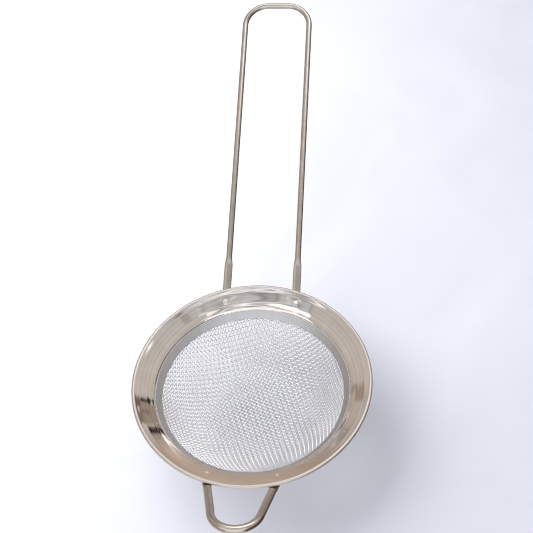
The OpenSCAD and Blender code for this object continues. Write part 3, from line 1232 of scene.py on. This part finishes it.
@dataclass(frozen=True)
class SpotWelds:
    """The pair of spot welds that hold one wire under the flange.

    Each nugget has a face that follows the dish, a little proud of it, a small edge, and a ball below. nugget is the
    ball's share of the weld's diameter, and fall the degrees that the ball runs over, down from its side.
    """

    name: str
    node: str
    x: float
    away: int
    section: RimSection = field(default_factory=RimSection)
    dish: WeldDish = field(default_factory=WeldDish)
    weld_d: float = 1.7
    proud: float = 0.010
    face_r: float = 0.70
    edge_r: float = 0.745
    edge_drop: float = 0.04
    nugget: float = 0.93
    fall: tuple[float, float] = (8.0, -80.0)
    sides: int = 28

    def build(self, finish: bpy.types.Material) -> bpy.types.Object:
        """Turn a nugget's profile round each weld's normal.

        The profile runs from the top pole out over the dish, round a small edge and down a ball to the bottom pole.

        Args:
            finish: the weld's material.

        Returns:
            The finished piece.
        """
        skin = self.section.sheet_t + self.proud
        ball = self.nugget * self.weld_d / 2
        out = np.linspace(0, self.face_r, 9)[1:]
        face = skin + self.dish.sunk(out)
        fall = np.radians(np.linspace(*self.fall, 10))
        rho = np.concatenate([out, [self.edge_r], ball * np.cos(fall)])[:, None]
        tall = np.concatenate([face, [face[-1] - self.edge_drop], ball * np.sin(fall)])[:, None]
        top, bottom = skin + float(self.dish.sunk(0.0)), -ball
        rows, count = len(rho), self.sides
        t = np.linspace(0, 2 * math.pi, count, endpoint=False)[None, :, None]
        uv = np.stack([np.repeat(rho, count), np.repeat(tall, count)], axis=1)
        uv = np.concatenate([uv, [[0, top], [0, bottom]]])
        parts = []
        for sign in (1, -1):
            place, up = self.section.weld_place(sign * self.x, self.away)
            side = unit(np.cross(up, [0, 0, 1.0]))
            ring = place + rho[..., None] * (np.cos(t) * side + np.sin(t) * np.cross(up, side)) + tall[..., None] * up
            points = np.concatenate([ring.reshape(-1, 3), [place + top * up, place + bottom * up]])
            parts.append((points, ring_faces(rows, count, False, True), pole_fans(rows, count), uv))
        piece = make_piece(self.name, *joined(parts))
        return finish_piece(piece, finish, "weld_metal", self.node)


# ---------------------------------------------------------------- studio and camera


@dataclass(frozen=True)
class Patch:
    """A soft-edged patch of the surroundings that the steel mirrors, in degrees of azimuth and elevation."""

    colour: tuple[float, float, float]
    azimuth: tuple[float, float]
    elevation: tuple[float, float]
    soft: float = 3.0
    strength: float = 1.0


@dataclass(frozen=True)
class Surroundings:
    """What the steel mirrors: a pale room, warm near the horizon and white above, with a few windows and dark gaps.

    Levels are linear light. Only glossy rays see it; the camera sees the plain colour `seen`, and matt rays the even
    soft light `fill`. Bands give a level at each elevation. A streak covers streak_degrees of azimuth and elevation,
    and each streak tone sets in between two levels of its noise.
    """

    seen: str = "#F6F7FC"
    fill: tuple[float, float, float] = (0.58, 0.585, 0.615)
    bands: tuple[tuple[float, tuple[float, float, float]], ...] = (
        (-90, (0.80, 0.81, 0.84)), (-30, (0.74, 0.75, 0.78)), (-13, (0.55, 0.50, 0.46)), (-2, (0.56, 0.46, 0.37)),
        (8, (0.65, 0.58, 0.52)), (24, (0.76, 0.70, 0.66)), (44, (0.72, 0.69, 0.66)), (60, (0.68, 0.68, 0.70)),
        (65, (1.15, 1.17, 1.22)), (74, (1.10, 1.12, 1.16)), (81, (0.66, 0.63, 0.60)), (90, (0.62, 0.59, 0.56)))
    patches: tuple[Patch, ...] = (
        Patch((2.70, 2.73, 2.82), (22, 124), (46, 78), 8.0),
        Patch((0.40, 0.38, 0.37), (84, 138), (18, 38), 8.0),
        Patch((0.92, 0.90, 0.88), (91, 106), (7, 19), 4.0),
        Patch((0.28, 0.23, 0.19), (-10, 16), (57, 75), 5.0, 0.9),
        Patch((0.10, 0.07, 0.05), (40, 67), (-50, -8), 6.0),
        Patch((1.45, 1.46, 1.48), (-118, -45), (-30, 18), 6.0),
        Patch((1.15, 1.13, 1.10), (-186, -158), (54, 74), 6.0),
        Patch((1.15, 1.13, 1.10), (158, 186), (54, 74), 6.0),
        Patch((1.60, 1.62, 1.66), (-150, -40), (14, 49.5), 2.5),
        Patch((0.50, 0.40, 0.30), (70, 130), (-14, -2), 6.0),
        Patch((0.24, 0.26, 0.32), (-118, -84), (60, 62), 1.2, 0.8),
        Patch((0.13, 0.085, 0.06), (-60, 33), (-45, 15), 4.0),
        Patch((0.26, 0.14, 0.07), (138, 148), (9, 16), 3.0, 0.5),
        Patch((0.16, 0.10, 0.08), (50.3, 56), (21, 30), 1.0, 0.9),
        Patch((0.18, 0.12, 0.09), (55, 63.5), (17, 25), 1.2, 0.85),
        Patch((0.36, 0.28, 0.22), (50.4, 62.5), (4, 23), 2.0, 0.75),
        Patch((0.030, 0.018, 0.015), (46.8, 50.6), (14.5, 22.2), 1.3),
        Patch((0.032, 0.022, 0.020), (63.2, 67.4), (3.5, 12.5), 2.6),
        Patch((0.34, 0.31, 0.30), (-22, -14), (49.0, 52.0), 2.2, 0.5),
        Patch((0.36, 0.36, 0.40), (-152, -141), (44, 56), 5.0, 0.7),
    )
    streak_degrees: tuple[float, float] = (42.0, 2.6)
    streak_zone: Patch = Patch((0.0, 0.0, 0.0), (-170, -30), (49, 72), 4.0)
    streak_tones: tuple[tuple[float, float, tuple[float, float, float]], ...] = (
        (0.54, 0.70, (1.5, 1.53, 1.60)), (0.45, 0.30, (0.30, 0.30, 0.33)))

    def build(self) -> None:
        """Make the world: bands by elevation, then each patch laid over them, with streaks in the high front."""
        world = bpy.data.worlds.new("studio")
        bpy.context.scene.world = world
        world.cycles.sampling_method = "NONE"  # glossy and matt rays see different levels, so each samples its own
        world.use_nodes = True
        tree = world.node_tree
        tree.nodes.clear()
        way = add(tree, "ShaderNodeTexCoord").outputs["Generated"]
        parts = add(tree, "ShaderNodeSeparateXYZ", {0: way})
        degrees = 180 / math.pi
        azimuth = add(tree, "ShaderNodeMath", {0: parts.outputs["Y"], 1: parts.outputs["X"]}, operation="ARCTAN2")
        azimuth = add(tree, "ShaderNodeMath", {0: azimuth.outputs[0], 1: degrees}, operation="MULTIPLY").outputs[0]
        elevation = add(tree, "ShaderNodeMath", {0: parts.outputs["Z"]}, operation="ARCSINE")
        elevation = add(tree, "ShaderNodeMath", {0: elevation.outputs[0], 1: degrees},
                        operation="MULTIPLY").outputs[0]
        share = add(tree, "ShaderNodeMapRange", {"Value": elevation, "From Min": -90.0, "From Max": 90.0})
        colour = add(tree, "ShaderNodeValToRGB", {"Fac": share.outputs["Result"]},
                     stops=[((e + 90) / 180, (*c, 1.0)) for e, c in self.bands]).outputs["Color"]
        for patch in self.patches:
            mask = self.mask(tree, azimuth, elevation, patch)
            colour = add(tree, "ShaderNodeMix", {"Factor": mask, "A": colour, "B": (*patch.colour, 1.0)},
                         data_type="RGBA").outputs["Result"]
        # streaks high over the rest's side, long and thin, white and dark by turns; the zone's own colour is not used
        spread = add(tree, "ShaderNodeCombineXYZ", {"X": azimuth, "Y": elevation})
        spread = add(tree, "ShaderNodeVectorMath", {
            0: spread.outputs[0], 1: (1 / self.streak_degrees[0], 1 / self.streak_degrees[1], 0)}, operation="MULTIPLY")
        noise = add(tree, "ShaderNodeTexNoise", {"Vector": spread.outputs[0], "Scale": 1.0, "Detail": 2.0,
                                                 "Distortion": 0.5}, noise_dimensions="2D")
        zone = self.mask(tree, azimuth, elevation, self.streak_zone)
        for low, high, tone in self.streak_tones:
            chosen = add(tree, "ShaderNodeMapRange", {"Value": noise.outputs["Fac"], "From Min": low,
                                                      "From Max": high})
            chosen = add(tree, "ShaderNodeMath", {0: chosen.outputs["Result"], 1: zone}, operation="MULTIPLY")
            colour = add(tree, "ShaderNodeMix", {"Factor": chosen.outputs[0], "A": colour, "B": (*tone, 1.0)},
                         data_type="RGBA").outputs["Result"]
        rays = add(tree, "ShaderNodeLightPath")
        even = add(tree, "ShaderNodeMix", {"Factor": rays.outputs["Is Glossy Ray"], "A": (*self.fill, 1.0),
                                           "B": colour}, data_type="RGBA")
        shown = add(tree, "ShaderNodeMix", {"Factor": rays.outputs["Is Camera Ray"], "A": even.outputs["Result"],
                                            "B": linear(self.seen)}, data_type="RGBA")
        back = add(tree, "ShaderNodeBackground", {"Color": shown.outputs["Result"], "Strength": 1.0})
        add(tree, "ShaderNodeOutputWorld", {"Surface": back.outputs["Background"]})

    @staticmethod
    def mask(tree: bpy.types.NodeTree, azimuth: bpy.types.NodeSocket, elevation: bpy.types.NodeSocket,
             patch: Patch) -> bpy.types.NodeSocket:
        """Strength of a patch in a direction: the product of four smooth steps.

        Args:
            tree: the world's nodes.
            azimuth: direction round, in degrees.
            elevation: direction up, in degrees.
            patch: the patch.

        Returns:
            The mask's socket.
        """
        result = None
        for value, (low, high) in ((azimuth, patch.azimuth), (elevation, patch.elevation)):
            for edge, sign in ((low, 1), (high, -1)):
                step = add(tree, "ShaderNodeMapRange", {
                    "Value": value, "From Min": edge - sign * patch.soft / 2, "From Max": edge + sign * patch.soft / 2,
                    "To Max": patch.strength if result is None else 1.0}, interpolation_type="SMOOTHSTEP")
                step = step.outputs["Result"]
                result = step if result is None else add(tree, "ShaderNodeMath", {0: result, 1: step},
                                                         operation="MULTIPLY").outputs[0]
        return result


@dataclass(frozen=True)
class Studio:
    """A pale floor and soft light from above the far left; the steel mirrors the surroundings and not the lamps."""

    floor_z: float = -22.75
    floor_size: float = 3000.0
    floor_points: int = 25
    surroundings: Surroundings = field(default_factory=Surroundings)

    def build(self) -> None:
        """Make the floor, the surroundings and the lamps."""
        self.floor()
        self.surroundings.build()
        self.lamp("key", (-230, 130, 200), (-80, 40, -20), (380, 380), 1.35, "#FFFFFF")
        self.lamp("front", (-220, -300, 520), (0, 20, 0), (520, 300), 0.3, "#FFFDFA")

    def floor(self) -> None:
        """Lay the cotton; the steel does not mirror it, since the surroundings already hold a floor."""
        half = self.floor_size / 2
        line = np.linspace(-half, half, self.floor_points)
        x, y = np.meshgrid(line, line, indexing="ij")
        points = np.stack([x, y, np.full_like(x, self.floor_z)], axis=-1).reshape(-1, 3)
        faces = ring_faces(self.floor_points, self.floor_points, False, False)
        floor = make_piece("floor", points, faces, closed=False)
        floor.data.materials.append(PaleCotton().build())
        floor.visible_glossy = False

    def lamp(self, name: str, at: tuple[float, float, float], to: tuple[float, float, float],
             size: tuple[float, float], power: float, colour: str) -> None:
        """Hang one soft rectangle of light.

        Args:
            name: its name.
            at: place in millimetres.
            to: point that it faces, in millimetres.
            size: width and height in millimetres.
            power: watts.
            colour: sRGB hex.
        """
        light = bpy.data.lights.new(name, "AREA")
        light.shape, light.size, light.size_y = "RECTANGLE", size[0] * MM, size[1] * MM
        light.energy, light.color = power, linear(colour)[:3]
        lamp = bpy.data.objects.new(name, light)
        lamp.visible_glossy = lamp.visible_camera = False
        where = Vector(at) * MM
        lamp.location = where
        lamp.rotation_euler = (Vector(to) * MM - where).to_track_quat("-Z", "Y").to_euler()
        bpy.context.scene.collection.objects.link(lamp)


@dataclass(frozen=True)
class CameraRig:
    """The camera: a long lens from above the rest's side, angles in degrees and places in millimetres."""

    lens: float = 72.95
    sensor: float = 36.0
    azimuth: float = 9.204
    elevation: float = 50.132
    roll: float = 5.84
    distance: float = 335.544
    across: float = -8.262
    above: float = -34.652
    clip_m: tuple[float, float] = (0.01, 20.0)

    def build(self) -> None:
        """Place the camera by its angles, its distance and its offsets across and above the line of sight."""
        az, el, roll = (math.radians(a) for a in (self.azimuth, self.elevation, self.roll))
        back = Vector((math.sin(az) * math.cos(el), -math.cos(az) * math.cos(el), math.sin(el)))
        right = Vector((math.cos(az), math.sin(az), 0.0))
        up = back.cross(right)
        x_axis = right * math.cos(roll) - up * math.sin(roll)
        y_axis = right * math.sin(roll) + up * math.cos(roll)
        data = bpy.data.cameras.new("camera")
        data.lens, data.sensor_width, data.sensor_fit = self.lens, self.sensor, "HORIZONTAL"
        data.clip_start, data.clip_end = self.clip_m
        camera = bpy.data.objects.new("camera", data)
        turn = Matrix((x_axis, y_axis, back)).transposed().to_4x4()
        place = (back * self.distance - right * self.across - up * self.above) * MM
        camera.matrix_world = Matrix.Translation(place) @ turn
        bpy.context.scene.collection.objects.link(camera)
        bpy.context.scene.camera = camera


def main() -> None:
    """Build the camera, the studio and every piece in order."""
    logging.basicConfig(level=logging.INFO, format="%(name)s: %(message)s")
    bpy.context.scene.view_settings.view_transform = "Standard"
    bpy.context.scene.cycles.filter_width = 1.1  # a narrow filter, so the fine wires of the cloth stay crisp
    CameraRig().build()
    Studio().build()
    wire = DrawnWire().build()
    weld = WeldMetal().build()
    cloth_wire = DrawnWire("annealed_cloth_wire", "#F6F6F8", "#E6E6EA", roughness=0.16, line_pitch_mm=0.12,
                           line_strength=0.1)
    handle, rest = HandleWire(), RestWire()
    pieces = [
        RimBand((handle.half_width, rest.weld_x())).build(PolishedStainless().build()),
        BindingRing().build(SatinStainless().build()),
        *ClothBowl().build(cloth_wire.build()),
        handle.build(wire, "bright_wire"),
        rest.build(wire, "bright_wire"),
        SpotWelds("handle_weld_spots", "handle_spot_welds", handle.half_width, handle.away).build(weld),
        SpotWelds("rest_weld_spots", "rest_spot_welds", rest.weld_x(), rest.away).build(weld),
    ]
    for piece in pieces:
        mesh = piece.data
        triangles = len(mesh.loops) - 2 * len(mesh.polygons)
        LOG.info("%s: %d points, %d triangles", piece.name, len(mesh.vertices), triangles)


if __name__ == "__main__":
    main()
